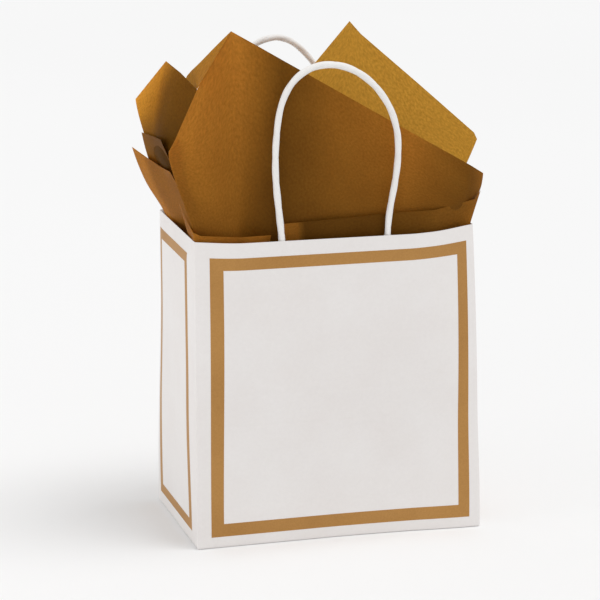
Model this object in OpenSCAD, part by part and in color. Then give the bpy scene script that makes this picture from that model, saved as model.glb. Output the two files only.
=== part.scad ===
// Paper gift bag: block-bottom body with side gussets, printed frames,
// two twisted-cord handles on glued patches, and tissue sheets in the mouth.
// Origin at the centre of the base, +Z up, the front faces -Y.

/* [Bag] */
// Width of the bag across the front
bag_w = 203; // [190:1:216]
// Depth of the bag, front to back
bag_d = 118; // [110:1:126]
// Height of the bag from the base to the rim
bag_h = 215; // [205:1:230]
// How far the front and back panels bulge out at the mouth
bulge = 9; // [6:0.5:10]
// Thickness of the bag paper
paper_t = 0.3; // [0.25:0.05:0.35]

/* [Bottom] */
// How far the bottom flaps overlap past the middle
flap_lap = 15; // [5:1:25]
// Half width of the narrow end of a side tuck
tuck_half = 25; // [20:1:30]
// How far a side tuck reaches past the corner of the flaps
tuck_reach = 10; // [5:1:15]

/* [Printed frames] */
// Width of the printed bars on the front and back
frame_bar = 9; // [6:0.5:12]
// Width of the printed bars on the gussets
side_bar = 7; // [5:0.5:9]
// Thickness of the ink skin
ink_t = 0.08; // [0.05:0.01:0.15]

/* [Handles] */
// Diameter of the twisted cord
cord_d = 4.6; // [4:0.1:5]
// Length of cord glued below the rim
glued_len = 31; // [28:1:34]
// Height of the handle patches
patch_h = 42; // [38:1:46]
// Width of the handle patches
patch_w = 104; // [96:1:106]
// Thickness of one patch ply
ply_t = 0.25; // [0.2:0.05:0.3]

/* [Tissue] */
// Thickness of a tissue sheet
tissue_t = 0.4; // [0.3:0.05:0.5]

/* [Hidden] */

paper = "white";
gold = "goldenrod";
kraft = "peru";

// The bag opens from a true box at the base to its full mouth shape at this height
open_from = 20;
open_full = 165;
// At the mouth the corners draw in by these amounts, [across, front to back]
draw_front_right = [4.5, 6];
draw_rear_left = [3, 2];
draw_rear_right = [4, 3];
// The panels leave each corner on a ramp of this width and reach their full bulge
ramp_left = 35;
ramp_right = 50;
// Rise of the rim where the panel bulges (below zero it dips)
rim_lift = -1;
// Layers glued or printed on each other keep this gap
glue_gap = 0.05;
// Inward dent of the gusset fold line at the mouth
gusset_dent = 0.2;

// The walls are drawn along these heights and these fractions of their width
rows = [0, 20, 35, 50, 65, 80, 95, 110, 125, 145, 165, 190];
steps = [0, 0.02, 0.045, 0.07, 0.1, 0.135, 0.175, 0.45, 0.75, 0.8, 0.85, 0.9, 0.94, 0.97, 1];

// Handle loops, seen from the front: [x, height above the rim]
LOOP = [[-43.7, 7], [-44.8, 16.8], [-45.7, 25.3], [-46.6, 34], [-47.2, 42.8], [-47.4, 51.6],
        [-47.2, 60.2], [-46.6, 68.8], [-45.7, 77.5], [-44.2, 86.2], [-41.5, 94.6], [-37.3, 102.3],
        [-31.5, 108.6], [-24.2, 113.1], [-15.9, 115.4], [-7.2, 115.4], [1.4, 113.5], [9.4, 109.8],
        [16.6, 104.8], [22.8, 98.8], [28.1, 91.9], [32.4, 84.4], [35.5, 76.3], [37.5, 67.8],
        [38.2, 59], [38, 50.2], [37.2, 41.6], [35.9, 33.1], [34.3, 24.5], [32.7, 15.8], [31.7, 7]];
REAR_LOOP = [[-43.7, 7], [-45.5, 16.5], [-48, 26], [-50.3, 36], [-52, 46], [-52.8, 56], [-52.5, 66],
             [-50.8, 76], [-47.8, 85.5], [-43.6, 94.5], [-38.4, 102.5], [-32.3, 109.5],
             [-25.2, 114.4], [-17, 117.6], [-8.8, 118.3], [-1, 116.1], [6, 111.4], [11.8, 105.9],
             [17, 99.6], [21.6, 92], [25.4, 83.5], [28.2, 74.5], [30.1, 65], [31.2, 55.5],
             [31.8, 46], [32, 36.5], [31.9, 27], [31.8, 17.5], [31.7, 7]];
leg_x = [-43, 31.2];
cord_sides = 10;
// The glued cord ends stop this far above the rim, just under the loop's round ends
stub_above = 3.2;

// Tissue sheets, drawn for a bag of this size and stretched to fit another.
// Each sheet is a list of columns, and each column runs from deep in the bag to the free edge.
drawn_for = [203, 118, 215];
FRONT_SHEET = [
    [[-86, -46, 120], [-98.5, -53, 215], [-119.5, -57, 277], [-117, -57, 288]],
    [[-76, -47, 120], [-86, -56, 215], [-90, -57, 262], [-97, -57, 319]],
    [[-66, -46, 120], [-73, -57, 215], [-74, -57.5, 280], [-75, -57, 354]],
    [[-56, -42, 120], [-61, -51, 215], [-58, -54, 275], [-53.8, -56, 341.8]],
    [[-44, -46, 120], [-47, -56, 215], [-44, -57.5, 270], [-40, -57, 333.7]],
    [[-8, -46, 120], [-8, -56.5, 215], [-7, -57.5, 262], [-6, -57, 314]],
    [[40, -45, 120], [44, -56, 215], [47, -57, 247], [50, -56, 281.6]],
    [[72, -42, 120], [85, -50, 215], [92.4, -51, 231], [94.9, -51, 256]],
    [[80, -38, 120], [93.5, -44, 215], [105.2, -42, 235], [107.9, -42, 248.2]]];
FRONT_WING = [
    [[-98.6, -56.5, 316], [-97, -56.5, 319], [-90, -56.5, 330.5], [-82.5, -56.5, 343], [-76, -56.5, 353]],
    [[-93.5, -2, 317], [-92.5, -8, 319.5], [-89.5, -30, 330.5], [-80.5, -50, 346.5], [-76, -55.5, 352.5]]];
FRONT_RIGHT_BAND = [
    [[-34, -57, 140], [-40, -61.2, 215], [-41, -61.2, 224.5]],
    [[0, -57, 140], [-1.5, -61.2, 215], [-1.5, -61.2, 225.8]],
    [[30, -56, 140], [30, -61, 215], [30.3, -61.2, 227.4]],
    [[60, -54, 140], [66, -58.5, 215], [67.1, -58.8, 227.6]],
    [[80, -46, 140], [92.5, -50.5, 215], [99.3, -50, 231.8]],
    [[84, -42, 140], [96, -50.4, 215], [105.3, -44.5, 236.4]]];
CORNER_SHEET = [
    [[-93, -26, 140], [-98.6, -28, 215], [-105.2, -30, 237]],
    [[-93.5, -42, 140], [-100, -46, 214.5], [-103.8, -45, 228.5]],
    [[-92, -52, 140], [-100, -56.5, 214], [-102, -57.6, 221.2]],
    [[-84, -56.5, 140], [-95.6, -59.6, 214.5], [-97.6, -60.6, 219.3]],
    [[-70, -60, 140], [-72, -64.6, 215], [-71.9, -65, 217.8]],
    [[-52, -58.5, 140], [-50, -61.6, 215], [-49.5, -61.8, 217.4]]];
LEFT_TALL_SHEET = [
    [[-84, 22, 130], [-92, 22, 215], [-117.6, 18, 277], [-123.8, 15, 301.1]],
    [[-82, 0, 130], [-87, -3, 215], [-115.5, -2, 277], [-106.3, -3, 328.7]],
    [[-80, -22, 130], [-83, -26, 215], [-114.5, -27, 278], [-101.8, -26.5, 323.6]],
    [[-76, -36, 130], [-79, -41, 215], [-107, -50, 280], [-99.2, -53.3, 316.5]]];
LEFT_MIDDLE_SHEET = [
    [[-86, 22, 130], [-94.5, 22, 215], [-114.8, 16.3, 259], [-119.2, 18, 277.5]],
    [[-85, -4, 130], [-89.5, -6, 215], [-109, -4, 256], [-117.9, -7, 279]],
    [[-83, -28, 130], [-85.5, -30, 215], [-107, -32, 256], [-118.4, -36, 281]]];
LEFT_LOW_SHEET = [
    [[-89, 46, 130], [-97.4, 47, 215], [-111.4, 45, 239.2], [-121.3, 40, 263.9]],
    [[-89, 22, 130], [-97.6, 22, 215], [-110, 18, 240], [-116.1, 10, 260.2]],
    [[-88, -10, 130], [-92.5, -12, 215], [-105, -14, 240], [-112.9, -15, 258.3]],
    [[-86, -32, 130], [-88, -36, 215], [-102, -37, 240], [-112.8, -38, 259.4]]];
REAR_RIGHT_SHEET = [
    [[-60, 6, 120], [-62, 12, 215], [-60, 16, 236], [-56, 20, 254.5]],
    [[-20, 8, 120], [-22, 14, 215], [-21, 18, 250], [-20.1, 20, 292.6]],
    [[8, 8, 120], [8, 15, 215], [6, 20, 265], [5.1, 22, 319.3]],
    [[26, 8, 120], [27, 15, 215], [29, 20, 280], [30.9, 22, 348.4]],
    [[36, 8, 120], [38, 15, 215], [39, 20, 275], [39.3, 22, 339.1]],
    [[60, 6, 120], [68, 14, 215], [76, 18, 255], [82.7, 20, 301.8]],
    [[78, 2, 120], [90, 10, 215], [108, 14, 240], [122.4, 16, 266.7]],
    [[81, -2, 120], [93.5, 4, 215], [109, 8, 236], [124, 14, 262.2]]];
REAR_BAND = [
    [[-70, 50, 140], [-82, 55, 215], [-85, 54, 226]],
    [[-30, 55, 140], [-34, 60.5, 215], [-34, 60, 232]],
    [[20, 55, 140], [20, 60.5, 215], [22, 60, 235]],
    [[60, 50, 140], [64, 57, 215], [68, 56, 231]],
    [[80, 44, 140], [88, 49, 215], [92, 48, 224]]];

// ---- helpers ----
function mix(a, b, t) = a + (b - a) * t;
function unit(v) = v / norm(v);
function ease(t) = t <= 0 ? 0 : t >= 1 ? 1 : t * t * (3 - 2 * t);
function flat(rows) = [for (r = rows) each r];
function last(v) = len(v) - 1;
// The lines of a list that fall between two values, with the two values themselves
function clipped(lines, a, b) = concat(a, [for (v = lines) if (v > a && v < b) v], b);

// A closed solid between two grids of points of the same size
module slab(a, b) {
    n = len(a);
    m = len(a[0]);
    o = n * m;
    sides = [for (i = [0:n - 2]) for (j = [0:m - 2]) let (k = i * m + j)
        each [[k, k + 1, k + m + 1], [k, k + m + 1, k + m],
              [o + k, o + k + m + 1, o + k + 1], [o + k, o + k + m, o + k + m + 1]]];
    ends = [for (i = [0:n - 2]) let (k = i * m, q = i * m + m - 1)
        each [[k, k + m, o + k + m], [k, o + k + m, o + k],
              [q, o + q + m, q + m], [q, o + q, o + q + m]]];
    caps = [for (j = [0:m - 2]) let (k = j, q = (n - 1) * m + j)
        each [[k, o + k + 1, k + 1], [k, o + k, o + k + 1],
              [q, q + 1, o + q + 1], [q, o + q + 1, o + q]]];
    polyhedron(points = concat(flat(a), flat(b)), faces = concat(sides, ends, caps));
}

// ---- shape of the paper body ----
function open_at(z) = ease((z - open_from) / (open_full - open_from));
function front_left(z) = [-bag_w / 2, -bag_d / 2];
function drawn_at(z) = pow(max(0, (z - open_from) / (bag_h - open_from)), 1.8);
function front_right(z) = [bag_w / 2 - draw_front_right[0] * drawn_at(z),
                           -bag_d / 2 + draw_front_right[1] * drawn_at(z)];
function rear_left(z) = [-bag_w / 2 + draw_rear_left[0] * open_at(z),
                         bag_d / 2 - draw_rear_left[1] * open_at(z)];
function rear_right(z) = [bag_w / 2 - draw_rear_right[0] * open_at(z),
                          bag_d / 2 - draw_rear_right[1] * open_at(z)];

// How much of its bulge a panel has, from its distance to its two corners
function crown(from_left, from_right) =
    from_left < ramp_left ? 1 - pow(1 - max(0, from_left) / ramp_left, 2) :
    from_right < ramp_right ? 1 - pow(1 - max(0, from_right) / ramp_right, 1.4) : 1;

// Depth of the front or back panel's outer face at x and height z, left and right corners given
function panel_y(x, z, left, right, side) =
    let (c = crown(x - left[0], right[0] - x),
         corner = x < 0 ? left[1] : right[1],
         full = side * (bag_d / 2 + bulge * open_at(z)))
    mix(corner, full, c);
function front_y(x, z) = panel_y(x, z, front_left(z), front_right(z), -1);
function back_y(x, z) = panel_y(x, z, rear_left(z), rear_right(z), 1);

function front_point(s, z, off) =
    let (x = mix(front_left(z)[0], front_right(z)[0], s))
    [x, front_y(x, z) + off, z];
function back_point(s, z, off) =
    let (x = mix(rear_left(z)[0], rear_right(z)[0], s))
    [x, back_y(x, z) - off, z];
function lift(s) = [0, 0, rim_lift * ease(min(s, 1 - s) * 5)];
function panel_point(back, s, z, off) = back ? back_point(s, z, off) : front_point(s, z, off);
function panel_grid(back, off) = [for (z = rows) [for (s = steps) panel_point(back, s, z, off)],
                                  [for (s = steps) panel_point(back, s, bag_h, off) + lift(s)]];
module front_panel() color(paper) slab(panel_grid(false, 0), panel_grid(false, paper_t));
module back_panel() color(paper) slab(panel_grid(true, paper_t), panel_grid(true, 0));

// A gusset half runs from a corner to the fold line in the middle, inside the panels
function fold_line(a, b, z, side) = (a + b) / 2 - [side * gusset_dent * open_at(z), 0];
function wall_point(p, z, side, off) = [p[0] - side * off, p[1], z];
function half_grid(side, front, off) = [for (z = concat(rows, bag_h))
    let (f = side < 0 ? front_left(z) : front_right(z),
         r = side < 0 ? rear_left(z) : rear_right(z),
         m = fold_line(f, r, z, side),
         a = front ? f + [0, paper_t + glue_gap] : m,
         b = front ? m : r - [0, paper_t + glue_gap])
    [for (t = [0, 0.5, 1]) wall_point(mix(a, b, t), z, side, off)]];
module gusset_half(side, front) {
    a = half_grid(side, front, 0);
    b = half_grid(side, front, paper_t);
    color(paper) if (side < 0) slab(b, a); else slab(a, b);
}
module left_gusset_front() gusset_half(-1, true);
module left_gusset_rear() gusset_half(-1, false);
module right_gusset_front() gusset_half(1, true);
module right_gusset_rear() gusset_half(1, false);

// The glued overlap of the sheet, inside the back panel by the left corner
lap_w = 15;
lap_in = 1;
function lap_grid(off) = [for (z = clipped(rows, 6, bag_h - lap_in))
    [for (s = clipped(steps, lap_in / bag_w, lap_w / bag_w)) panel_point(true, s, z, off)]];
module seam_lap() {
    color(paper) slab(lap_grid(paper_t * 2 + glue_gap), lap_grid(paper_t + glue_gap));
}

// ---- block bottom ----
in_w = bag_w / 2 - paper_t - glue_gap;
in_d = bag_d / 2 - paper_t - glue_gap;
module bottom_rear_flap() {
    color(paper) linear_extrude(paper_t)
        polygon([[-in_w, in_d], [in_w, in_d], [in_w - in_d, 0], [in_w - in_d, -flap_lap],
                 [in_d - in_w, -flap_lap], [in_d - in_w, 0]]);
}
module bottom_front_flap() {
    color(paper) translate([0, 0, paper_t]) mirror([0, 1, 0]) linear_extrude(paper_t)
        polygon([[-in_w, in_d], [in_w, in_d], [in_w - in_d, 0], [in_w - in_d, -flap_lap],
                 [in_d - in_w, -flap_lap], [in_d - in_w, 0]]);
}
module tuck(side) {
    color(paper) translate([0, 0, 2 * paper_t]) linear_extrude(paper_t)
        polygon([[side * in_w, -in_d], [side * in_w, in_d],
                 [side * (in_w - in_d - tuck_reach), tuck_half],
                 [side * (in_w - in_d - tuck_reach), -tuck_half]]);
}
module bottom_left_tuck() tuck(-1);
module bottom_right_tuck() tuck(1);

// ---- printed frames ----
// Each bar is a skin that follows the wall; edges are distances in from the folds
front_in = [10.5, 7, 8, 10.5]; // left, right, base, rim
side_in = [15.5, 8, 9, 11]; // front fold, rear fold, base, rim

module face_bar(back, s0, s1, z0, z1) {
    low = [for (z = clipped(rows, z0, z1)) [for (s = clipped(steps, s0, s1))
        panel_point(back, s, z, -ink_t - glue_gap)]];
    high = [for (z = clipped(rows, z0, z1)) [for (s = clipped(steps, s0, s1))
        panel_point(back, s, z, -glue_gap)]];
    if (back) slab(high, low); else slab(low, high);
}
module face_frame(back) {
    s0 = front_in[0] / bag_w;
    s1 = 1 - front_in[1] / bag_w;
    bar = frame_bar / bag_w;
    z0 = front_in[2];
    z1 = bag_h - front_in[3];
    color(gold) {
        face_bar(back, s0, s1, z1 - frame_bar, z1);
        face_bar(back, s0, s1, z0, z0 + frame_bar);
        face_bar(back, s0, s0 + bar, z0 + frame_bar + glue_gap, z1 - frame_bar - glue_gap);
        face_bar(back, s1 - bar, s1, z0 + frame_bar + glue_gap, z1 - frame_bar - glue_gap);
    }
}
module front_frame() face_frame(false);
module back_frame() face_frame(true);

function side_point(side, t, z, off) =
    let (f = side < 0 ? front_left(z) : front_right(z),
         r = side < 0 ? rear_left(z) : rear_right(z),
         m = fold_line(f, r, z, side),
         p = t < 0.5 ? mix(f, m, 2 * t) : mix(m, r, 2 * t - 1))
    [p[0] + side * off, p[1], z];
module side_strip(side, t0, t1, z0, z1) {
    low = [for (z = clipped(rows, z0, z1)) [for (t = clipped([0.5], t0, t1))
        side_point(side, t, z, ink_t + glue_gap)]];
    high = [for (z = clipped(rows, z0, z1)) [for (t = clipped([0.5], t0, t1))
        side_point(side, t, z, glue_gap)]];
    if (side < 0) slab(high, low); else slab(low, high);
}
module side_frame(side) {
    t0 = side_in[0] / bag_d;
    t1 = 1 - side_in[1] / bag_d;
    bar = side_bar / bag_d;
    z0 = side_in[2];
    z1 = bag_h - side_in[3];
    color(gold) {
        side_strip(side, t0, t1, z1 - side_bar, z1);
        side_strip(side, t0, t1, z0, z0 + side_bar);
        side_strip(side, t0, t0 + bar, z0 + side_bar + glue_gap, z1 - side_bar - glue_gap);
        side_strip(side, t1 - bar, t1, z0 + side_bar + glue_gap, z1 - side_bar - glue_gap);
    }
}
module left_frame() side_frame(-1);
module right_frame() side_frame(1);

// ---- handles ----
// Layers inside the panel, from its inner face: ply, then cord under the cover
face_y = bag_d / 2 + bulge - paper_t - glue_gap;
ply_y = face_y - ply_t;
cord_y = ply_y - glue_gap - cord_d / 2;
cover_y = ply_y - glue_gap;
patch_top = bag_h - 1.5;
patch_mid = (leg_x[0] + leg_x[1]) / 2;
module at_side(front) {
    if (front) children(); else mirror([0, 1, 0]) children();
}
module patch_ply(front) {
    color(paper) at_side(front)
        translate([patch_mid - patch_w / 2, -face_y, patch_top - patch_h])
            cube([patch_w, ply_t, patch_h]);
}
// The cover is one ply with a half-round channel over each cord end
module patch_cover(front) {
    channel_r = cord_d / 2 + glue_gap;
    color(paper) at_side(front) translate([0, 0, patch_top - patch_h]) linear_extrude(patch_h)
        difference() {
            union() {
                translate([patch_mid - patch_w / 2, -cover_y]) square([patch_w, ply_t]);
                for (x = leg_x) translate([x, -cord_y]) {
                    circle(r = channel_r + ply_t, $fn = 48);
                    translate([-channel_r - ply_t, -cord_d / 2 - glue_gap / 2])
                        square([2 * (channel_r + ply_t), cord_d / 2]);
                }
            }
            for (x = leg_x) translate([x, -cord_y]) {
                circle(r = channel_r, $fn = 48);
                translate([-channel_r, -cord_d]) square([2 * channel_r, cord_d]);
            }
            translate([-bag_w, -face_y - bag_d]) square([2 * bag_w, bag_d + face_y - cover_y]);
        }
}
module cord_ends(front) {
    color(paper) at_side(front) for (x = leg_x)
        translate([x, -cord_y, bag_h - glued_len])
            cylinder(d = cord_d, h = glued_len + stub_above, $fn = 48);
}
// Rings swept along the route, with round ends
function route(loop) = [for (p = loop) [p[0], -cord_y, bag_h + p[1]]];
function along(path, i) = unit(path[min(i + 1, last(path))] - path[max(i - 1, 0)]);
function ring(p, dir, r) = let (u = unit(cross(dir, [0, 1, 0])))
    [for (k = [0:cord_sides - 1]) let (a = 360 * k / cord_sides)
        p + r * cos(a) * u + [0, r * sin(a), 0]];
function tube_rings(path) = let (n = last(path), r = cord_d / 2)
    concat([for (a = [80, 50, 25]) ring(path[0] - along(path, 0) * r * sin(a), along(path, 0), r * cos(a))],
           [for (i = [0:n]) ring(path[i], along(path, i), r)],
           [for (a = [25, 50, 80]) ring(path[n] + along(path, n) * r * sin(a), along(path, n), r * cos(a))]);
module tube(rings) {
    n = len(rings);
    m = len(rings[0]);
    walls = [for (i = [0:n - 2]) for (k = [0:m - 1])
        let (a = i * m + k, b = i * m + (k + 1) % m) each [[a, b, b + m], [a, b + m, a + m]]];
    start = [for (k = [1:m - 2]) [0, k + 1, k]];
    end = [for (k = [1:m - 2]) let (o = (n - 1) * m) [o, o + k, o + k + 1]];
    polyhedron(points = flat(rings), faces = concat(walls, start, end));
}
module handle(front) {
    color(paper) at_side(front) tube(tube_rings(route(front ? LOOP : REAR_LOOP)));
}
module front_patch_ply() patch_ply(true);
module front_patch_cover() patch_cover(true);
module front_cord_ends() cord_ends(true);
module front_handle() handle(true);
module rear_patch_ply() patch_ply(false);
module rear_patch_cover() patch_cover(false);
module rear_cord_ends() cord_ends(false);
module rear_handle() handle(false);

// ---- tissue ----
function fitted(p) = [p[0] * bag_w / drawn_for[0], p[1] * bag_d / drawn_for[1], p[2] + bag_h - drawn_for[2]];
function fit_grid(g) = [for (c = g) [for (p = c) fitted(p)]];
function normal_at(g, i, j) =
    let (di = g[min(i + 1, last(g))][j] - g[max(i - 1, 0)][j],
         dj = g[i][min(j + 1, last(g[i]))] - g[i][max(j - 1, 0)])
    unit(cross(di, dj));
function shifted(g, d) = [for (i = [0:last(g)]) [for (j = [0:last(g[i])]) g[i][j] + d * normal_at(g, i, j)]];
module sheet(grid) {
    g = fit_grid(grid);
    slab(shifted(g, tissue_t / 2), shifted(g, -tissue_t / 2));
}
module front_sheet() {
    color(kraft) {
        sheet(FRONT_SHEET);
        sheet(FRONT_WING);
    }
}
module front_right_band() color(kraft) sheet(FRONT_RIGHT_BAND);
module corner_sheet() color(kraft) sheet(CORNER_SHEET);
module left_tall_sheet() color(kraft) sheet(LEFT_TALL_SHEET);
module left_middle_sheet() color(kraft) sheet(LEFT_MIDDLE_SHEET);
module left_low_sheet() color(kraft) sheet(LEFT_LOW_SHEET);
module rear_right_sheet() color(kraft) sheet(REAR_RIGHT_SHEET);
module rear_band() color(kraft) sheet(REAR_BAND);

front_panel();
back_panel();
left_gusset_front();
left_gusset_rear();
right_gusset_front();
right_gusset_rear();
seam_lap();
bottom_left_tuck();
bottom_right_tuck();
bottom_front_flap();
bottom_rear_flap();
front_frame();
back_frame();
left_frame();
right_frame();
front_patch_ply();
front_patch_cover();
front_cord_ends();
front_handle();
rear_patch_ply();
rear_patch_cover();
rear_cord_ends();
rear_handle();
front_sheet();
front_right_band();
corner_sheet();
left_tall_sheet();
left_middle_sheet();
left_low_sheet();
rear_right_sheet();
rear_band();
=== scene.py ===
import math

import bpy
import numpy as np
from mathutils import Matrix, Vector


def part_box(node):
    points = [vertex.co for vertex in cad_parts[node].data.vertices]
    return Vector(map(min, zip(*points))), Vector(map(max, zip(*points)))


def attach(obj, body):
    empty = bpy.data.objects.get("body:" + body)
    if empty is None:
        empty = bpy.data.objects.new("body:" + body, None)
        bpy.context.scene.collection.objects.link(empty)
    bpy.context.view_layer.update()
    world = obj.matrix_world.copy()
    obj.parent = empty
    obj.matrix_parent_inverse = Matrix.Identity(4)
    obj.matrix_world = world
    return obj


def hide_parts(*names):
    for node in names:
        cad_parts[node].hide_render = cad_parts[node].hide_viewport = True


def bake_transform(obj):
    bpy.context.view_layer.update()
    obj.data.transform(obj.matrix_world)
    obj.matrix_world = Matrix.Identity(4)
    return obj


# A white paper gift bag with printed frames, twisted cord handles and kraft tissue in its mouth.
# Lengths are in millimetres until a mesh is made. The front faces -Y and the base stands on z = 0.
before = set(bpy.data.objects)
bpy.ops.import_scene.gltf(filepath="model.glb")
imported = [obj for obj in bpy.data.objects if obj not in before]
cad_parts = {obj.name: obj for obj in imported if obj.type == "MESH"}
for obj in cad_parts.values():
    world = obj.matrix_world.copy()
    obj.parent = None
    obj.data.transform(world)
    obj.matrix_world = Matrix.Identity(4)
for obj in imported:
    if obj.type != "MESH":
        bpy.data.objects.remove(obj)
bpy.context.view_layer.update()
MM = 0.001

# ---- sizes, from the frame where it has them ----
PAPER = 0.3
GLUE_GAP = 0.05
panel_low, panel_high = (np.array(corner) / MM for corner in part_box("front_panel"))
gusset_low, gusset_high = (np.array(corner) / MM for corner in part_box("left_gusset_front"))
BAG_W = panel_high[0] - panel_low[0]
BAG_D = 2 * (PAPER + GLUE_GAP - gusset_low[1])
BAG_H = gusset_high[2]
BULGE = -panel_low[1] - BAG_D / 2
CORD_D = 4.6
CORD_R = CORD_D / 2
leg_low, leg_high = (np.array(corner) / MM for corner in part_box("front_cord_ends"))
CORD_Y = (-leg_low[1] - leg_high[1]) / 2
CORD_FOOT = leg_low[2]

# The mouth opens between these heights, and its corners draw in by these amounts
OPEN_FROM, OPEN_FULL = 20, 165
DRAW_FRONT_RIGHT = (4.5, 6)
DRAW_REAR_LEFT = (3, 2)
DRAW_REAR_RIGHT = (4, 3)
RAMP_LEFT, RAMP_RIGHT = 35, 50
RIM_DIP = (0.6, 1.4)
RIM_FROM = 190
GUSSET_BULGE, GUSSET_RAMP = 1.5, 22
# The front panel's right foot stands this far forward, from its start along the base up to its top
TOE_OUT, TOE_START, TOE_TOP = 6, -10, 90
FOLD_R = 0.7
BASE_R = 1.5


# ---- small helpers ----
def ease(t):
    t = np.clip(t, 0, 1)
    return t * t * (3 - 2 * t)


def mix(a, b, t):
    return a + (b - a) * t


def spaced(a, b, step):
    """Values from a to b about step apart, both ends among them."""
    return np.linspace(a, b, max(2, int(round(abs(b - a) / step)) + 1))


def in_runs(stops, steps):
    """Values through all the stops, with its own step for each run between them."""
    runs = [spaced(a, b, step)[1:] for a, b, step in zip(stops, stops[1:], steps)]
    return np.concatenate([[stops[0]], *runs])


def soft_noise(u, v, scale, seed):
    """Smooth noise from -1 to 1 over a plane, scale millimetres from hill to hill."""
    table = np.random.default_rng(seed).uniform(-1, 1, (64, 64))
    u, v = np.asarray(u) / scale + 20, np.asarray(v) / scale + 20
    i, j = np.floor(u).astype(int), np.floor(v).astype(int)
    a, b = ease(u - i), ease(v - j)
    low = mix(table[i % 64, j % 64], table[(i + 1) % 64, j % 64], a)
    high = mix(table[i % 64, (j + 1) % 64], table[(i + 1) % 64, (j + 1) % 64], a)
    return mix(low, high, b)


def through(knots, values, at):
    """A smooth curve through values, which stand at knots, read at the given places."""
    knots, values, at = np.asarray(knots, float), np.asarray(values, float), np.asarray(at, float)
    if len(knots) == 2:
        t = ((at - knots[0]) / (knots[1] - knots[0]))[:, None]
        return mix(values[0], values[1], t)
    slope = np.diff(values, axis=0) / np.diff(knots)[:, None]
    span = np.diff(knots)[:, None]
    inner = (slope[:-1] * span[1:] + slope[1:] * span[:-1]) / (span[1:] + span[:-1])
    tangent = np.concatenate([2 * slope[:1] - inner[:1], inner, 2 * slope[-1:] - inner[-1:]])
    i = np.clip(np.searchsorted(knots, at, side="right") - 1, 0, len(knots) - 2)
    h = (knots[i + 1] - knots[i])[:, None]
    t = (at - knots[i])[:, None] / h
    return ((2 * t**3 - 3 * t**2 + 1) * values[i] + (t**3 - 2 * t**2 + t) * h * tangent[i]
            + (3 * t**2 - 2 * t**3) * values[i + 1] + (t**3 - t**2) * h * tangent[i + 1])


def along(points):
    """Distance along a line of points, from its start to each."""
    return np.concatenate([[0], np.cumsum(np.linalg.norm(np.diff(points, axis=0), axis=1))])


# One step of a tissue sheet's UV in millimetres, the reach of the painted light and shade on a sheet, and a
# tone with no painted light or shade, the same all over
UV_MM, PAINTED_SHADING_SPAN = 100, 300
EVEN = ((0, 1), (PAINTED_SHADING_SPAN, 1))


# ---- meshes ----
def mesh_piece(name, points, faces, material, uv=None):
    mesh = bpy.data.meshes.new(name)
    mesh.from_pydata((np.asarray(points) * MM).tolist(), [], [tuple(map(int, f)) for f in faces])
    mesh.update()
    mesh.polygons.foreach_set("use_smooth", [True] * len(mesh.polygons))
    if uv is not None:
        corner = np.zeros(len(mesh.loops), np.int32)
        mesh.loops.foreach_get("vertex_index", corner)
        mesh.uv_layers.new(name="UVMap").data.foreach_set("uv", uv[corner].astype(np.float32).ravel())
    mesh.materials.append(material)
    obj = bpy.data.objects.new(name, mesh)
    bpy.context.scene.collection.objects.link(obj)
    return obj


def grid_quads(n, m, closed=False):
    """Quads of an n by m grid of points, facing the cross product of its two directions."""
    i, j = np.meshgrid(np.arange(n if closed else n - 1), np.arange(m - 1), indexing="ij")
    i, j = i.ravel(), j.ravel()
    k = (i + 1) % n
    return np.stack([i * m + j, k * m + j, k * m + j + 1, i * m + j + 1], axis=1)


def point_normals(points, quads):
    a, b, c, d = (points[quads[:, k]] for k in range(4))
    face = np.cross(c - a, d - b)
    normal = np.zeros_like(points)
    for k in range(4):
        np.add.at(normal, quads[:, k], face)
    return normal / np.maximum(np.linalg.norm(normal, axis=1), 1e-12)[:, None]


def thick_piece(name, points, quads, outside, inside, material, uv=None):
    """A closed piece of paper: the surface moved outside and inside along its normals, with its cut edges."""
    used, at = np.unique(quads, return_inverse=True)
    points, quads = points[used], at.reshape(quads.shape)
    normal = point_normals(points, quads)
    n = len(points)
    edges = np.concatenate([quads[:, [k, (k + 1) % 4]] for k in range(4)])
    there = set(map(tuple, edges.tolist()))
    rim = np.array([(b, a, a + n, b + n) for a, b in edges.tolist() if (b, a) not in there])
    faces = np.concatenate([quads, quads[:, ::-1] + n, rim.reshape(-1, 4)])
    both = np.concatenate([points + normal * outside, points - normal * inside])
    if uv is not None:
        uv = np.tile(uv[used], (2, 1))
    obj = mesh_piece(name, both, faces, material, uv)
    keep_rim_crisp(obj, 2 * len(quads))
    return obj


def keep_rim_crisp(obj, first):
    """Shades the cut edges apart from the two faces of the paper."""
    flags = [True] * len(obj.data.polygons)
    for k in range(first, len(flags)):
        flags[k] = False
    obj.data.polygons.foreach_set("use_smooth", flags)
    obj.data.set_sharp_from_angle(angle=math.radians(50))


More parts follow.
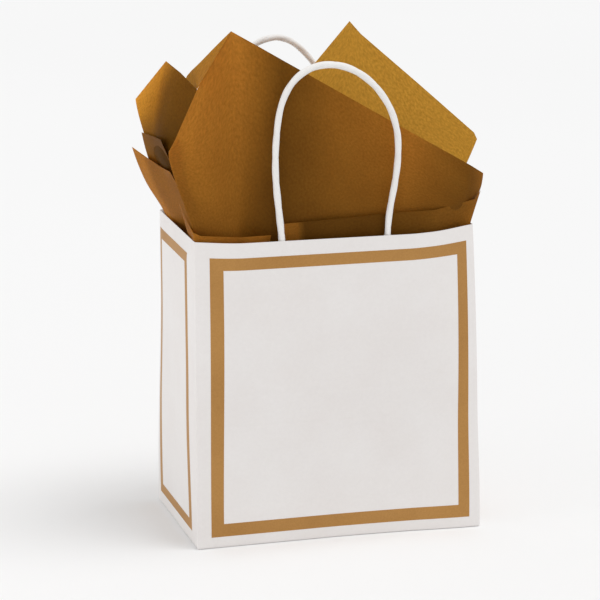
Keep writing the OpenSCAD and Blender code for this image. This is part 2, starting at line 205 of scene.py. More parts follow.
# ---- materials ----
class Finish:
    """A node material, built up one node at a time."""

    def __init__(self, name):
        self.material = bpy.data.materials.new(name)
        self.material.use_nodes = True
        self.tree = self.material.node_tree
        self.tree.nodes.clear()
        self.out = self.tree.nodes.new("ShaderNodeOutputMaterial")

    def node(self, kind, inputs=None, **settings):
        made = self.tree.nodes.new(kind)
        for key, value in settings.items():
            setattr(made, key, value)
        for key, value in (inputs or {}).items():
            if isinstance(value, bpy.types.NodeSocket):
                self.tree.links.new(value, made.inputs[key])
            else:
                made.inputs[key].default_value = value
        return made

    def place(self, kind="Object", stretch=(1, 1, 1)):
        where = self.node("ShaderNodeTexCoord").outputs[kind]
        return self.node("ShaderNodeMapping", {"Vector": where, "Scale": stretch}).outputs[0]

    def noise(self, where, scale, detail=2, roughness=0.5):
        inputs = {"Vector": where, "Scale": scale, "Detail": detail, "Roughness": roughness}
        return self.node("ShaderNodeTexNoise", inputs).outputs["Fac"]

    def ramp(self, factor, *stops):
        made = self.node("ShaderNodeValToRGB", {"Fac": factor})
        elements = made.color_ramp.elements
        while len(elements) < len(stops):
            elements.new(0.5)
        for element, (at, colour) in zip(elements, stops):
            element.position = at
            element.color = (*colour, 1)
        return made.outputs["Color"]

    def level(self, factor, low, high):
        made = self.node("ShaderNodeMapRange", {"Value": factor, "To Min": low, "To Max": high})
        return made.outputs["Result"]

    def blend(self, factor, a, b, mode="MIX"):
        made = self.node("ShaderNodeMix", data_type="RGBA", blend_type=mode)
        for socket, value in ((0, factor), (6, a), (7, b)):
            if isinstance(value, bpy.types.NodeSocket):
                self.tree.links.new(value, made.inputs[socket])
            else:
                made.inputs[socket].default_value = value
        return made.outputs[2]

    def add(self, a, b, share):
        made = self.node("ShaderNodeMath", {0: b, 1: share, 2: a}, operation="MULTIPLY_ADD")
        return made.outputs[0]

    def bump(self, height, distance, strength=1.0):
        inputs = {"Height": height, "Distance": distance, "Strength": strength}
        return self.node("ShaderNodeBump", inputs).outputs["Normal"]

    def surface(self, inputs):
        return self.node("ShaderNodeBsdfPrincipled", inputs).outputs["BSDF"]

    def done(self, shader):
        self.tree.links.new(shader, self.out.inputs["Surface"])
        return self.material


def white_paper():
    f = Finish("white bag paper")
    where = f.place()
    cloud = f.noise(where, 26, 3)
    fibre = f.noise(where, 2600, 3, 0.6)
    pulp = f.noise(where, 420, 4, 0.6)
    tone = f.ramp(cloud, (0.3, (0.815, 0.778, 0.758)), (0.7, (0.840, 0.812, 0.796)))
    tone = f.blend(0.06, tone, f.ramp(pulp, (0.3, (0.60, 0.57, 0.55)), (0.7, (0.96, 0.95, 0.94))))
    height = f.add(f.level(fibre, 0, 0.35), pulp, 0.65)
    return f.done(f.surface({
        "Base Color": tone, "Roughness": f.level(pulp, 0.5, 0.66), "Specular IOR Level": 0.4,
        "Normal": f.bump(height, 0.00006, 0.6)}))


def gold_ink():
    f = Finish("tan gold ink")
    where = f.place()
    cloud = f.noise(where, 18, 3)
    grain = f.noise(where, 900, 4, 0.65)
    tone = f.ramp(cloud, (0.25, (0.380, 0.174, 0.029)), (0.75, (0.465, 0.228, 0.050)))
    tone = f.blend(0.16, tone, f.ramp(grain, (0.35, (0.28, 0.12, 0.02)), (0.65, (0.60, 0.33, 0.10))))
    return f.done(f.surface({
        "Base Color": tone, "Roughness": f.level(grain, 0.42, 0.6), "Specular IOR Level": 0.45,
        "Normal": f.bump(grain, 0.00004, 0.5)}))


def cord_paper():
    f = Finish("twisted cord paper")
    where = f.place("UV", (3.0, 0.35, 1))
    strand = f.noise(where, 9, 4, 0.6)
    fibre = f.noise(f.place(), 2400, 3, 0.6)
    tone = f.ramp(strand, (0.3, (0.82, 0.80, 0.775)), (0.7, (0.90, 0.885, 0.87)))
    height = f.add(f.level(fibre, 0, 0.3), strand, 0.7)
    return f.done(f.surface({
        "Base Color": tone, "Roughness": f.level(strand, 0.55, 0.75), "Specular IOR Level": 0.35,
        "Normal": f.bump(height, 0.00012, 0.7)}))


def painted_shading_ramp(f, place, stops):
    """A ramp of painted light and shade from stops of (millimetres along the sheet, tone), 1 being the plain
    tissue, below 1 painted shade and above 1 painted light.
    """
    return f.ramp(place, *[(mm / PAINTED_SHADING_SPAN, (g, g ** 1.1, g ** 1.6)) for mm, g in stops])


def kraft_tissue(name, dark, light, shine_through, glow, across=EVEN, up=EVEN):
    """Brown tissue: mottled pulp and short fibres, some light coming through.
    across and up: painted light and shade laid along and up the sheet, on its colour and on the light coming
    through it. It is fixed in the finish, and no lamp moves it."""
    f = Finish(name)
    where = f.place("UV")
    mottle = f.noise(where, 60, 5, 0.6)
    cloud = f.noise(where, 4.5, 3)
    fibre = f.noise(f.place("UV", (1, 5, 1)), 60, 4, 0.65)
    tone = f.ramp(cloud, (0.25, dark), (0.75, light))
    shade = f.ramp(mottle, (0.3, (0.78, 0.76, 0.72)), (0.7, (1.18, 1.16, 1.12)))
    tone = f.blend(0.5, tone, shade, "MULTIPLY")
    tone = f.blend(0.07, tone, f.ramp(fibre, (0.35, dark), (0.7, (0.52, 0.32, 0.14))))
    # Painted light and shade: ramps along (across) and up the sheet, multiplied into its colour
    whole = f.place("UV", (UV_MM / PAINTED_SHADING_SPAN, UV_MM / PAINTED_SHADING_SPAN, 1))
    part = f.node("ShaderNodeSeparateXYZ", {"Vector": whole}).outputs
    painted_shading = f.blend(1.0, painted_shading_ramp(f, part[0], across), painted_shading_ramp(f, part[1], up), "MULTIPLY")
    tone = f.blend(1.0, tone, painted_shading, "MULTIPLY")
    height = f.add(f.level(mottle, 0, 0.5), fibre, 0.5)
    normal = f.bump(height, 0.00006, 0.6)
    sheet = f.surface({
        "Base Color": tone, "Roughness": f.level(mottle, 0.5, 0.68), "Specular IOR Level": 0.08,
        "Normal": normal})
    lit = f.blend(1.0, f.ramp(mottle, (0.3, (0.78, 0.74, 0.66)), (0.7, (1.12, 1.1, 1.05))), glow, "MULTIPLY")
    # The same painted light and shade is laid twice over on the light coming through the sheet
    lit = f.blend(1.0, f.blend(1.0, lit, painted_shading, "MULTIPLY"), painted_shading, "MULTIPLY")
    through_it = f.node("ShaderNodeBsdfTranslucent", {"Color": lit, "Normal": normal}).outputs[0]
    both = f.node("ShaderNodeMixShader", {0: shine_through, 1: sheet, 2: through_it})
    return f.done(both.outputs[0])


def floor_finish():
    f = Finish("pale floor")
    cloud = f.noise(f.place(), 0.8, 2)
    tone = f.ramp(cloud, (0.3, (0.900, 0.900, 0.900)), (0.7, (0.910, 0.910, 0.910)))
    return f.done(f.surface({"Base Color": tone, "Roughness": 0.9, "Specular IOR Level": 0.0}))


WHITE = white_paper()
GOLD = gold_ink()
CORD = cord_paper()
DARK, PALE, GLOW = (0.37, 0.150, 0.015), (0.45, 0.192, 0.022), (0.87, 0.57, 0.21, 1)
KRAFT = kraft_tissue("kraft tissue", DARK, PALE, 0.5, GLOW)
# A lighter copy of the tissue: a larger share of light passes through its one layer, and its lighter, yellower
# tone and brighter glow are painted light
KRAFT_THIN_PAINTED_LIGHT = kraft_tissue("kraft tissue, one layer, painted lighter", (0.38, 0.170, 0.016), (0.46, 0.225, 0.026), 0.6,
                          (1.0, 0.76, 0.30, 1))
# Front sheet: painted shade in a soft valley, over a band towards its right and low down by the rim; a little
# painted light at its left, its right end and its top
KRAFT_FRONT = kraft_tissue(
    "kraft tissue, front sheet, painted light and shade", DARK, PALE, 0.5, GLOW,
    ((0, 1.05), (50, 1.02), (62, 0.86), (77, 0.60), (115, 0.86), (170, 1.0), (215, 0.62), (235, 1.05)),
    ((90, 0.78), (130, 0.90), (170, 1.0), (235, 1.05)))
# Left tall sheet: a copy of the tissue painted lighter, with more light through it; painted shade towards its
# right and low down, painted light at its left edge and its top
KRAFT_TALL = kraft_tissue(
    "kraft tissue, left tall sheet, painted light and shade", (0.38, 0.160, 0.014), (0.46, 0.210, 0.022), 0.6, (0.97, 0.68, 0.24, 1),
    ((0, 1.05), (25, 1.0), (42, 0.72), (75, 0.6)), ((85, 0.45), (145, 0.6), (172, 0.95), (200, 1.1)))
# Front band: painted shade over most of its width, lifting towards its right end
KRAFT_BAND = kraft_tissue(
    "kraft tissue, front band, painted shade", DARK, PALE, 0.5, GLOW,
    ((0, 1.0), (9, 0.95), (14, 0.48), (70, 0.56), (125, 0.88), (150, 1.0)))
# Left middle sheet: a shaded copy of the tissue, with less light through it and painted shade all over,
# deepening along the sheet
KRAFT_MIDDLE = kraft_tissue(
    "kraft tissue, left middle sheet, painted shade", DARK, PALE, 0.4, GLOW, ((0, 0.75), (20, 0.6), (60, 0.42)))


# ---- camera, light and floor ----
def make_camera():
    turn, tilt = math.radians(-16.25), math.radians(13.25)
    away, aim_z, to_left, to_up = 1.698, 0.110, 0.011, 0.0445
    back = Vector((math.sin(turn) * math.cos(tilt), -math.cos(turn) * math.cos(tilt), math.sin(tilt)))
    right = Vector((math.cos(turn), math.sin(turn), 0))
    up = right.cross(-back)
    data = bpy.data.cameras.new("camera")
    data.sensor_width = 36
    data.lens = 144
    data.clip_start, data.clip_end = 0.05, 60
    camera = bpy.data.objects.new("camera", data)
    camera.location = Vector((0, 0, aim_z)) + back * away - right * to_left + up * to_up
    camera.rotation_mode = "QUATERNION"
    camera.rotation_quaternion = (-back).to_track_quat("-Z", "Y")
    bpy.context.scene.collection.objects.link(camera)
    bpy.context.scene.camera = camera


def light_from(name, kind, place, power, **settings):
    data = bpy.data.lights.new(name, kind)
    data.energy = power
    for key, value in settings.items():
        setattr(data, key, value)
    lamp = bpy.data.objects.new(name, data)
    lamp.location = place
    lamp.rotation_mode = "QUATERNION"
    lamp.rotation_quaternion = (Vector((0, 0, 0.12)) - Vector(place)).to_track_quat("-Z", "Y")
    bpy.context.scene.collection.objects.link(lamp)


def make_studio():
    world = bpy.data.worlds.new("soft room")
    world.use_nodes = True
    sky = world.node_tree.nodes["Background"]
    sky.inputs["Color"].default_value = (1, 1, 1, 1)
    sky.inputs["Strength"].default_value = 0.735
    bpy.context.scene.world = world
    bpy.context.scene.view_settings.view_transform = "Standard"
    light_from("key", "SUN", (0.75, -0.42, 2.05), 1.0, angle=math.radians(37))
    light_from("left_fill", "AREA", (-2.4, -0.3, 0.45), 9, shape="SQUARE", size=1.2)
    half = 20 / MM
    floor = mesh_piece("floor", [(-half, -half, 0), (half, -half, 0), (half, half, 0), (-half, half, 0)],
                       [(0, 1, 2, 3)], floor_finish())


make_camera()
make_studio()

# ---- handles ----
# Each loop, seen from the front: [x, height above the rim]
FRONT_LOOP = [[-43.7, 7], [-44.8, 16.8], [-45.7, 25.3], [-46.6, 34], [-47.2, 42.8], [-47.4, 51.6],
              [-47.2, 60.2], [-46.6, 68.8], [-45.7, 77.5], [-44.2, 86.2], [-41.5, 94.6], [-37.3, 102.3],
              [-31.5, 108.6], [-24.2, 113.1], [-15.9, 115.4], [-7.2, 115.4], [1.4, 113.5], [9.4, 109.8],
              [16.6, 104.8], [22.8, 98.8], [28.1, 91.9], [32.4, 84.4], [35.5, 76.3], [37.5, 67.8],
              [38.2, 59], [38, 50.2], [37.2, 41.6], [35.9, 33.1], [34.3, 24.5], [32.7, 15.8], [31.7, 7]]
REAR_LOOP = [[-43.7, 7], [-45.5, 16.5], [-48, 26], [-50.3, 36], [-52, 46], [-52.8, 56], [-52.5, 66],
             [-50.8, 76], [-47.8, 85.5], [-43.6, 94.5], [-38.4, 102.5], [-32.3, 109.5],
             [-25.2, 114.4], [-17, 117.6], [-8.8, 118.3], [-1, 116.1], [6, 111.4], [11.8, 105.9],
             [17, 99.6], [21.6, 92], [25.4, 83.5], [28.2, 74.5], [30.1, 65], [31.2, 55.5],
             [31.8, 46], [32, 36.5], [31.9, 27], [31.8, 17.5], [31.7, 7]]
LEG_X = (-43, 31.2)
GLUED_STEPS = (0, 10, 20, 28)
PATCH_TOP = BAG_H - 1.5
TWIST_PITCH = 34
LOBE = 0.03
GROOVE, GROOVE_W = 0.13, 0.22


def handle_route(side):
    """The line down the middle of one handle, from one glued end to the other."""
    first = [(LEG_X[0], CORD_FOOT - BAG_H + s) for s in GLUED_STEPS]
    last = [(LEG_X[1], CORD_FOOT - BAG_H + s) for s in reversed(GLUED_STEPS)]
    loop = FRONT_LOOP if side < 0 else REAR_LOOP
    stops = np.array(first + loop + last, float)
    stops = np.stack([stops[:, 0], np.full(len(stops), side * CORD_Y), BAG_H + stops[:, 1]], axis=1)
    knots = along(stops)
    return through(knots, stops, spaced(0, knots[-1], 0.75))


def twisted_cord(name, side):
    route = handle_route(side)
    run = along(route)
    ahead = np.gradient(route, axis=0)
    ahead /= np.linalg.norm(ahead, axis=1)[:, None]
    across = np.cross(ahead, (0, 1, 0))
    corners = 36
    turn = np.arange(corners) * 2 * math.pi / corners
    lead = 2 * math.pi * run / TWIST_PITCH
    lay = turn[None, :] - lead[:, None]
    groove = np.abs((lay / math.pi + 0.5) % 1 - 0.5) * math.pi
    swell = 0.97 + 0.07 * soft_noise(run, 0 * run, 55, 15 if side < 0 else 16)[:, None]
    radius = CORD_R * swell * (1 - LOBE + LOBE * np.cos(2 * lay + math.pi))
    radius = radius - GROOVE * np.exp(-(groove / GROOVE_W) ** 2)
    radius = radius + 0.05 * soft_noise(run[:, None], turn[None, :] * 3, 6, 11 if side < 0 else 12)
    end = np.clip(np.minimum(run, run[-1] - run) / CORD_R, 0, 1)
    radius = radius * np.sqrt(1 - (1 - end[:, None]) ** 2 * 0.96)
    ring = (route[:, None] + (radius * np.cos(turn))[..., None] * across[:, None]
            + (radius * np.sin(turn))[..., None] * np.array((0, 1, 0)))
    n = len(route)
    points = np.concatenate([ring.reshape(-1, 3), route[[0, -1]]])
    index = np.arange(n * corners).reshape(n, corners)
    after = np.roll(index, -1, axis=1)
    walls = np.stack([index[:-1], index[1:], after[1:], after[:-1]], axis=-1).reshape(-1, 4).tolist()
    caps = [(n * corners, a, b) for a, b in zip(index[0], after[0])]
    caps += [(n * corners + 1, b, a) for a, b in zip(index[-1], after[-1])]
    shift = np.stack([lay / (2 * math.pi), np.broadcast_to(run[:, None] / 14, lay.shape)], axis=-1)
    uv = np.concatenate([shift.reshape(-1, 2), np.zeros((2, 2))])
    cord = mesh_piece(name, points, walls + caps, CORD, uv)
    foot = np.array(route[0]) * MM
    foot[2] = (PATCH_TOP - 0.5) * MM
    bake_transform(cord)
    nodes = ("front_cord_ends", "front_handle") if side < 0 else ("rear_cord_ends", "rear_handle")
    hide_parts(*nodes)
    return cord


twisted_cord("front_cord", -1)
twisted_cord("rear_cord", 1)


# ---- the folded paper body ----
def open_at(z):
    return ease((z - OPEN_FROM) / (OPEN_FULL - OPEN_FROM))


def drawn_at(z):
    return np.clip((z - OPEN_FROM) / (BAG_H - OPEN_FROM), 0, 1) ** 1.8


def bag_corners(z):
    """The four folds at height z: front left, front right, rear right, rear left."""
    o, late = open_at(z), drawn_at(z)
    w, d = BAG_W / 2, BAG_D / 2
    toe = TOE_OUT * (1 - ease(z / TOE_TOP))
    return ((-w + 0 * o, -d + 0 * o), (w - DRAW_FRONT_RIGHT[0] * late, -d + DRAW_FRONT_RIGHT[1] * late - toe),
            (w - DRAW_REAR_RIGHT[0] * o, d - DRAW_REAR_RIGHT[1] * o),
            (-w + DRAW_REAR_LEFT[0] * o, d - DRAW_REAR_LEFT[1] * o))


def crown(from_left, from_right):
    left = 1 - (1 - np.clip(from_left / RAMP_LEFT, 0, 1)) ** 2
    right = 1 - (1 - np.clip(from_right / RAMP_RIGHT, 0, 1)) ** 1.4
    return np.where(from_left < RAMP_LEFT, left, right)


def calm(s, z):
    """1 in the free middle of a wall, 0 at its folds, at its base and where the patches are glued."""
    return ease(np.minimum(s, 1 - s) * 6) * ease((z - 12) / 30) * ease((158 - z) / 40)


CREASES = ((28, 0.10, 0.9), (86, 0.07, 1.0), (108, 0.05, 1.1))


def paper_waves(s, z, seed):
    """How far the paper stands out of its plain shape: slow waves and the faint creases of its folding."""
    slow = 0.55 * soft_noise(s * 200, z, 62, seed) + 0.22 * soft_noise(s * 200, z, 27, seed + 1)
    lines = sum(-deep * np.exp(-((z - at - 1.2 * soft_noise(s * 200, z, 80, seed + 2)) / wide) ** 2)
                for at, deep, wide in CREASES)
    return (slow + lines) * calm(s, z)


def panel(s, z, rear=False):
    """A point of the front or back panel's outer face, s from its left fold to its right fold."""
    s, z = np.broadcast_arrays(np.asarray(s, float), np.asarray(z, float))
    fl, fr, rr, rl = bag_corners(z)
    left, right, side = (rl, rr, 1) if rear else (fl, fr, -1)
    x = mix(left[0], right[0], s)
    share = crown(x - left[0], right[0] - x)
    full = side * (BAG_D / 2 + BULGE * open_at(z))
    if not rear:
        reach = np.clip((x - TOE_START) / (BAG_W / 2 - TOE_START), 0, 1)
        full = full - TOE_OUT * (1 - ease(z / TOE_TOP)) * reach ** 1.5
    y = mix(np.where(x < 0, left[1], right[1]), full, share)
    y = y + side * paper_waves(s, z, 5 if rear else 3)
    dip = mix(*RIM_DIP, s) if not rear else RIM_DIP[0]
    dip = dip * ease(np.minimum(s, 1 - s) * 6) * np.clip((z - RIM_FROM) / (BAG_H - RIM_FROM), 0, 1)
    return np.stack([x, y, z - dip], axis=-1)


def gusset(t, z, right=False):
    """A point of a gusset's outer face, t from its front fold to its rear fold."""
    t, z = np.broadcast_arrays(np.asarray(t, float), np.asarray(z, float))
    fl, fr, rr, rl = bag_corners(z)
    front, rear, side = (fr, rr, 1) if right else (fl, rl, -1)
    x, y = mix(front[0], rear[0], t), mix(front[1], rear[1], t)
    near_fold = np.clip(np.minimum(t, 1 - t) * BAG_D / GUSSET_RAMP, 0, 1)
    bulge = GUSSET_BULGE * ease(z / 100) * ease((BAG_H - z) / 16) * (1 - (1 - near_fold) ** 2)
    crease = 0.12 * np.exp(-((t - 0.5) / 0.012) ** 2) * ease(z / 20)
    x = x + side * (bulge - crease + 0.25 * paper_waves(t, z, 9 if right else 7))
    return np.stack([x, y, z], axis=-1)


def turned_fold(a, corner, b):
    """The three points that round a fold between the last point of one wall and the first of the next."""
    return [((1 - t) ** 2) * a + 2 * t * (1 - t) * corner + t * t * b for t in (0.25, 0.5, 0.75)]


def wall_heights():
    lines = [in_runs([at - 2.4, at + 2.4], [0.4]) for at, _, _ in CREASES]
    plain = in_runs([BASE_R, 12, RIM_FROM, BAG_H], [1.5, 3, 2.5])
    rest = [z for z in plain if all(abs(z - at) > 2.6 for at, _, _ in CREASES)]
    return np.sort(np.concatenate([rest, *lines]))


def walls_at(z, across, along_side):
    """The closed line round the bag at height z, from the front left fold and on to the right."""
    e, g = FOLD_R / BAG_W, FOLD_R / BAG_D
    s = mix(e, 1 - e, across)
    t = mix(g, 1 - g, along_side)
    runs = [panel(s, z), gusset(t, z, right=True), panel(s, z, rear=True)[::-1], gusset(t, z)[::-1]]
    tips = [panel(1, z), panel(1, z, rear=True), panel(0, z, rear=True), panel(0, z)]
    line = []
    for k, run in enumerate(runs):
        line += list(run) + turned_fold(run[-1], tips[k], runs[(k + 1) % 4][0])
    return np.array(line)


def make_walls():
    across = in_runs([0, 0.2, 0.7, 1], [0.012, 0.016, 0.012])
    along_side = in_runs([0, 0.44, 0.56, 1], [0.03, 0.01, 0.03])
    rings = [walls_at(z, across, along_side) for z in wall_heights()]
    # the lower edge turns under, where the bottom flaps begin
    base = rings[0]
    inward = -np.cross(np.roll(base, -1, axis=0) - np.roll(base, 1, axis=0), (0, 0, 1))
    inward /= np.linalg.norm(inward, axis=1)[:, None]
    turn = []
    for a in np.radians((90, 75, 60, 45, 30, 15)):
        ring = base + inward * BASE_R * (1 - math.cos(a))
        ring[:, 2] = BASE_R * (1 - math.sin(a))
        turn.append(ring)
    rings = np.array(turn + rings)
    m, n = rings.shape[:2]
    points = rings.transpose(1, 0, 2).reshape(-1, 3)
    quads = grid_quads(n, m, closed=True)
    walls = thick_piece("paper_walls", points, quads, 0, PAPER, WHITE)
    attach(walls, "bag")
    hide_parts("front_panel", "back_panel", "left_gusset_front", "left_gusset_rear",
                "right_gusset_front", "right_gusset_rear")


def make_lap():
    """The glued overlap of the sheet, inside the back panel by its left fold."""
    s = spaced(1 / BAG_W, 15 / BAG_W, 0.01)
    z = spaced(6, BAG_H - 1, 3)
    points = panel(s[:, None], z[None, :], rear=True)
    quads = grid_quads(len(s), len(z))[:, ::-1]
    lap = thick_piece("glued_lap", points.reshape(-1, 3), quads, -PAPER - GLUE_GAP,
                      2 * PAPER + GLUE_GAP, WHITE)
    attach(lap, "bag")
    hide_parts("seam_lap")


make_walls()
make_lap()

# ---- printed frames ----
INK_OUT, INK_IN = 0.06, 0.02
# Margins to the left fold, right fold (at the base and at the rim), base and rim, then the bars' widths
FACE = ((9.9, 9.3), (8.0, 6.4), 8, 10.5), (8.9, 8.0, 9, 8.5)
SIDE = ((15.5, 19.5), (8.0, 5.5), 9, 11), (7, 7, 7, 7)


def printed_frame(name, node, wall, width, sizes, flip):
    """A ring of ink on a wall, between its first fold and its second."""
    (first, second, low, high), bars = sizes
    flat_stops = [first[0], first[0] + bars[0], width - second[0] - bars[1], width - second[0]]
    u = in_runs(flat_stops, [1.5, 2, 1.5])
    z = in_runs([low, low + bars[2], BAG_H - high - bars[3], BAG_H - high], [1.5, 2, 1.5])
    rows = []
    for height in z:
        a, b = mix(*first, height / BAG_H), mix(*second, height / BAG_H)
        row = np.interp(u, flat_stops, [a, a + bars[0], width - b - bars[1], width - b])
        rows.append(wall(row / width, height))
    points = np.array(rows).transpose(1, 0, 2)
    quads = grid_quads(len(u), len(z))
    middle_u, middle_z = u[quads[:, 0] // len(z)] + 0.1, z[quads[:, 0] % len(z)] + 0.1
    hole = ((middle_u > flat_stops[1]) & (middle_u < flat_stops[2])
            & (middle_z > low + bars[2]) & (middle_z < BAG_H - high - bars[3]))
    quads = quads[~hole]
    if flip:
        quads = quads[:, ::-1]
    ink = thick_piece(name, points.reshape(-1, 3), quads, INK_OUT, INK_IN, GOLD)
    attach(ink, "bag")
    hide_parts(node)


printed_frame("front_print", "front_frame", panel, BAG_W, FACE, False)
printed_frame("back_print", "back_frame", lambda s, z: panel(s, z, rear=True), BAG_W, FACE, True)
printed_frame("left_print", "left_frame", gusset, BAG_D, SIDE, True)
printed_frame("right_print", "right_frame", lambda t, z: gusset(t, z, right=True), BAG_D, SIDE, False)

# ---- pieces that keep their shape ----
for node_name in ("front_patch_ply", "front_patch_cover", "rear_patch_ply", "rear_patch_cover"):
    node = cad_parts[node_name]
    node.data.materials.clear()
    node.data.materials.append(WHITE)

# The bottom flaps end where the walls turn under
for node_name in ("bottom_left_tuck", "bottom_right_tuck", "bottom_front_flap", "bottom_rear_flap"):
    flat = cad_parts[node_name].data
    corners = np.array([v.co for v in flat.vertices]) / MM
    corners[:, 0] *= 1 - BASE_R / (BAG_W / 2)
    corners[:, 1] *= 1 - BASE_R / (BAG_D / 2)
    flap = mesh_piece(node_name + "_paper", corners, [list(f.vertices) for f in flat.polygons], WHITE)
    flap.data.set_sharp_from_angle(angle=math.radians(30))
    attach(flap, "bag")
    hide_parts(node_name)

# ---- tissue ----
# Each sheet is a list of columns, and each column runs from deep in the bag to the free edge.
FRONT_SHEET = [
    [[-86, -46, 120], [-98.5, -53, 215], [-114.3, -57, 262], [-115.8, -57, 279]],
    [[-76, -47, 120], [-86, -56, 215], [-90, -57, 262], [-97, -57, 319]],
    [[-66, -46, 120], [-73, -57, 215], [-74, -57.5, 280], [-75, -57, 354]],
    [[-56, -42, 120], [-61, -51, 215], [-58, -54, 275], [-53.8, -56, 341.8]],
    [[-44, -46, 120], [-47, -56, 215], [-44, -57.5, 270], [-40, -57, 333.7]],
    [[-8, -46, 120], [-8, -56.5, 215], [-7, -57.5, 262], [-6, -57, 314]],
    [[40, -45, 120], [44, -56, 215], [47, -57, 247], [50, -56, 281.6]],
    [[72, -42, 120], [85, -50, 215], [92.4, -51, 231], [94.9, -51, 256]],
    [[80, -38, 120], [93.5, -44, 215], [105.2, -42, 235], [107.9, -42, 248.2]]]
# The outer edge of the corner that is folded back from the front sheet, up to its peak
WING_EDGE = [[-90, -2, 300], [-93.5, -3, 316], [-92.5, -8, 319.5], [-89.5, -30, 330.5],
             [-80.5, -50, 346.5], [-75, -57, 354]]
FRONT_RIGHT_BAND = [
    [[-34, -57, 140], [-40, -61.2, 215], [-41, -61.2, 224.5]],
    [[0, -57, 140], [-1.5, -61.2, 215], [-1.5, -61.2, 225.8]],
    [[30, -56, 140], [30, -61, 215], [30.3, -61.2, 227.4]],
    [[60, -54, 140], [66, -58.5, 215], [67.1, -58.8, 227.6]],
    [[80, -46, 140], [92.5, -50.5, 215], [99.3, -50, 231.8]],
    [[84, -42, 140], [96, -50.4, 215], [105.3, -44.5, 236.4]]]
CORNER_SHEET = [
    [[-93, -26, 140], [-98.6, -28, 215], [-105.2, -30, 237]],
    [[-93.5, -42, 140], [-100, -46, 214.5], [-103.8, -45, 228.5]],
    [[-92, -52, 140], [-100, -56.5, 214], [-102, -57.6, 221.2]],
    [[-84, -56.5, 140], [-95.6, -59.6, 214.5], [-97.6, -60.6, 219.3]],
    [[-70, -60, 140], [-72, -64.6, 215], [-71.9, -65, 217.8]],
    [[-52, -58.5, 140], [-50, -61.6, 215], [-49.5, -61.8, 217.4]]]
LEFT_TALL_SHEET = [
    [[-84, 22, 130], [-92, 22, 215], [-117.6, 18, 277], [-123.8, 15, 301.1]],
    [[-82, 0, 130], [-87, -3, 215], [-115.5, -2, 277], [-106.3, -3, 328.7]],
    [[-80, -22, 130], [-83, -26, 215], [-114.5, -27, 278], [-101.8, -26.5, 323.6]],
    [[-76, -36, 130], [-79, -41, 215], [-104, -51, 280], [-94.5, -54, 312.8]]]
LEFT_MIDDLE_SHEET = [
    [[-86, 22, 130], [-94.5, 22, 215], [-114.8, 16.3, 259], [-119.2, 18, 277.5]],
    [[-85, -4, 130], [-89.5, -6, 215], [-109, -4, 256], [-117.9, -7, 279]],
    [[-83, -28, 130], [-85.5, -30, 215], [-107, -32, 256], [-118.4, -36, 281]]]
LEFT_LOW_SHEET = [
    [[-89, 46, 130], [-97.4, 47, 215], [-111.4, 45, 239.2], [-121.3, 40, 263.9]],
    [[-89, 22, 130], [-97.6, 22, 215], [-110, 18, 240], [-116.1, 10, 260.2]],
    [[-88, -10, 130], [-92.5, -12, 215], [-105, -14, 240], [-112.9, -15, 258.3]],
    [[-86, -32, 130], [-88, -36, 215], [-102, -37, 240], [-112.8, -38, 259.4]]]
REAR_RIGHT_SHEET = [
    [[-60, 6, 120], [-62, 12, 215], [-60, 16, 236], [-56, 20, 254.5]],
    [[-20, 8, 120], [-22, 14, 215], [-21, 18, 250], [-20.1, 20, 292.6]],
    [[8, 8, 120], [8, 15, 215], [6, 20, 265], [5.1, 22, 319.3]],
    [[26, 8, 120], [27, 15, 215], [29, 20, 280], [30.9, 22, 348.4]],
    [[36, 8, 120], [38, 15, 215], [39, 20, 275], [39.3, 22, 339.1]],
    [[60, 6, 120], [68, 14, 215], [76, 18, 255], [82.7, 20, 301.8]],
    [[78, 2, 120], [90, 10, 215], [108, 14, 240], [122.4, 16, 266.7]],
    [[81, -2, 120], [93.5, 4, 215], [109, 8, 236], [124, 14, 262.2]]]
REAR_BAND = [
    [[-70, 50, 140], [-82, 55, 215], [-85, 54, 226]],
    [[-30, 55, 140], [-34, 60.5, 215], [-34, 60, 232]],
    [[20, 55, 140], [20, 60.5, 215], [22, 60, 235]],
    [[60, 50, 140], [64, 57, 215], [68, 56, 231]],
    [[80, 44, 140], [88, 49, 215], [92, 48, 224]]]
TISSUE_T = 0.12
TISSUE_STEP = 1.8
HEM_R, HEM_W = 0.9, 7
FOLD_TURN = np.radians((30, 60, 90, 120, 150))


def draped(columns, waves, seed):
    """The sheet's surface: smooth through its columns, straight from corner to corner at its free edge."""
    grid = np.array(columns, float)
    knots_u = np.concatenate([[0], np.cumsum(np.linalg.norm(np.diff(grid, axis=0), axis=2).mean(axis=1))])
    knots_v = np.concatenate([[0], np.cumsum(np.linalg.norm(np.diff(grid, axis=1), axis=2).mean(axis=0))])
    u = in_runs(knots_u, [TISSUE_STEP] * (len(knots_u) - 1))
    v = in_runs(knots_v, [TISSUE_STEP] * (len(knots_v) - 1))
    rows = [through(knots_u, grid[:, j], u) for j in range(grid.shape[1] - 1)]
    rows.append(np.stack([np.interp(u, knots_u, grid[:, -1, k]) for k in range(3)], axis=1))
    rows = np.array(rows)
    surface = through(knots_v, rows.reshape(len(rows), -1), v).reshape(len(v), len(u), 3)
    points = surface.transpose(1, 0, 2)
    normal = point_normals(points.reshape(-1, 3), grid_quads(len(u), len(v))).reshape(points.shape)
    uu, vv = np.meshgrid(u, v, indexing="ij")
    ripple = waves * (0.7 * soft_noise(uu, vv, 34, seed) + 0.3 * soft_noise(uu, vv, 15, seed + 1))
    ripple = ripple * ease((knots_v[-1] - vv) / 12)
    points = points + normal * ripple[..., None]
    return points, np.stack([uu, vv], axis=-1), knots_u


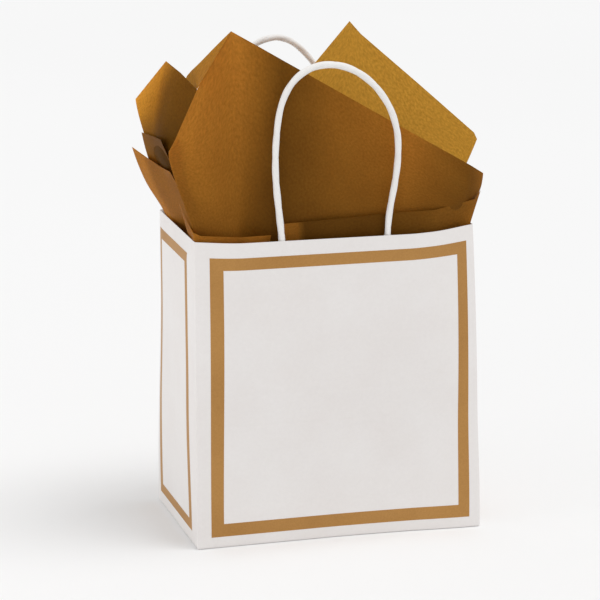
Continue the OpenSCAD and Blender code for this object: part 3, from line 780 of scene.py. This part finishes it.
def hemmed(points, uv):
    """The sheet with its first edge folded round behind it."""
    out = points[0] - points[1]
    out /= np.linalg.norm(out, axis=1)[:, None]
    normal = point_normals(points.reshape(-1, 3), grid_quads(*points.shape[:2])).reshape(points.shape)[0]
    turn = [points[0] + HEM_R * (math.sin(a) * out - (1 - math.cos(a)) * normal) for a in FOLD_TURN]
    tail = [points[0] - 2 * HEM_R * normal - w * out for w in (0, HEM_W / 2, HEM_W)]
    extra = np.array((turn + tail)[::-1])
    away = np.array([1, 2, 3, 4, 5, 6, 6 + HEM_W / 2, 6 + HEM_W][::-1])
    extra_uv = np.stack([np.repeat(-away[:, None] * 0.8, points.shape[1], axis=1),
                         np.repeat(uv[:1, :, 1], len(away), axis=0)], axis=-1)
    return np.concatenate([extra, points]), np.concatenate([extra_uv, uv]), len(away)


def folded_corner(points, uv, first, last):
    """Points of the corner that folds back over the free edge between two of its columns."""
    crease = points[first:last + 1, -1]
    at = along(crease) / along(crease)[-1]
    edge = np.array(WING_EDGE, float)
    outer = through(along(edge) / along(edge)[-1], edge, at)
    ahead = (crease[-1] - crease[0]) / np.linalg.norm(crease[-1] - crease[0])
    out, back = np.cross(ahead, (0, -1, 0)), np.array((0, 1, 0))
    radius = HEM_R * ease((1 - at) * 6)[:, None]
    rows = [crease + radius * (math.sin(a) * out + (1 - math.cos(a)) * back) for a in FOLD_TURN]
    start = rows[-1]
    rows += [mix(start, outer, w) for w in spaced(0, 1, 0.045)[1:]]
    far = uv[first:last + 1, -1]
    rows_uv = [np.stack([far[:, 0], far[:, 1] + 1.5 * (k + 1)], axis=-1) for k in range(len(rows))]
    return np.array(rows), np.array(rows_uv)


def tissue_piece(name, columns, body, material, node, seed, waves=0.5, hem=False, corner=None):
    points, uv, knots = draped(columns, waves, seed)
    places = [int(np.argmin(np.abs(uv[:, 0, 0] - k))) for k in knots]
    if hem:
        points, uv, added = hemmed(points, uv)
        places = [k + added for k in places]
    n, m = points.shape[:2]
    quads = grid_quads(n, m)
    flat = [max(along(line)[-1] for line in points.transpose(1, 0, 2)),
            max(along(line)[-1] for line in points)]
    cloud, cloud_uv = points.reshape(-1, 3), uv.reshape(-1, 2)
    if corner:
        first, last = places[corner[0]], places[corner[1]]
        rows, rows_uv = folded_corner(points, uv, first, last)
        k = last - first + 1
        index = np.concatenate([[np.arange(first, last + 1) * m + m - 1],
                                n * m + np.arange(len(rows) * k).reshape(-1, k)]).T
        extra = grid_quads(*index.shape)
        quads = np.concatenate([quads, index.ravel()[extra]])
        cloud = np.concatenate([cloud, rows.reshape(-1, 3)])
        cloud_uv = np.concatenate([cloud_uv, rows_uv.reshape(-1, 2)])
        flat[1] += along(rows[:, 0])[-1]
    half = TISSUE_T / 2
    piece = thick_piece(name, cloud, quads, half, half, material, cloud_uv / UV_MM)
    if corner:
        piece.data.materials.append(KRAFT_THIN_PAINTED_LIGHT)
        for face in piece.data.polygons:
            if min(v % len(cloud) for v in face.vertices) >= n * m:
                face.material_index = 1
    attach(piece, body)
    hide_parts(node)


# Each sheet's material carries its painted light and shade; the folded-back corner and the rear right sheet
# take the tissue painted lighter
tissue_piece("tissue_front", FRONT_SHEET, "front_tissue", KRAFT_FRONT, "front_sheet", 21, 0.5,
             hem=True, corner=(1, 2))
tissue_piece("tissue_front_right_band", FRONT_RIGHT_BAND, "front_tissue", KRAFT_BAND, "front_right_band",
             25, 0.25)
tissue_piece("tissue_corner", CORNER_SHEET, "front_tissue", KRAFT, "corner_sheet", 27, 0.15)
tissue_piece("tissue_left_tall", LEFT_TALL_SHEET, "front_tissue", KRAFT_TALL, "left_tall_sheet", 29, 0.4)
tissue_piece("tissue_left_middle", LEFT_MIDDLE_SHEET, "front_tissue", KRAFT_MIDDLE, "left_middle_sheet",
             31, 0.25)
tissue_piece("tissue_left_low", LEFT_LOW_SHEET, "front_tissue", KRAFT, "left_low_sheet", 33, 0.3)
tissue_piece("tissue_rear_right", REAR_RIGHT_SHEET, "rear_tissue", KRAFT_THIN_PAINTED_LIGHT, "rear_right_sheet", 35, 0.4)
tissue_piece("tissue_rear_band", REAR_BAND, "rear_tissue", KRAFT, "rear_band", 37, 0.3)
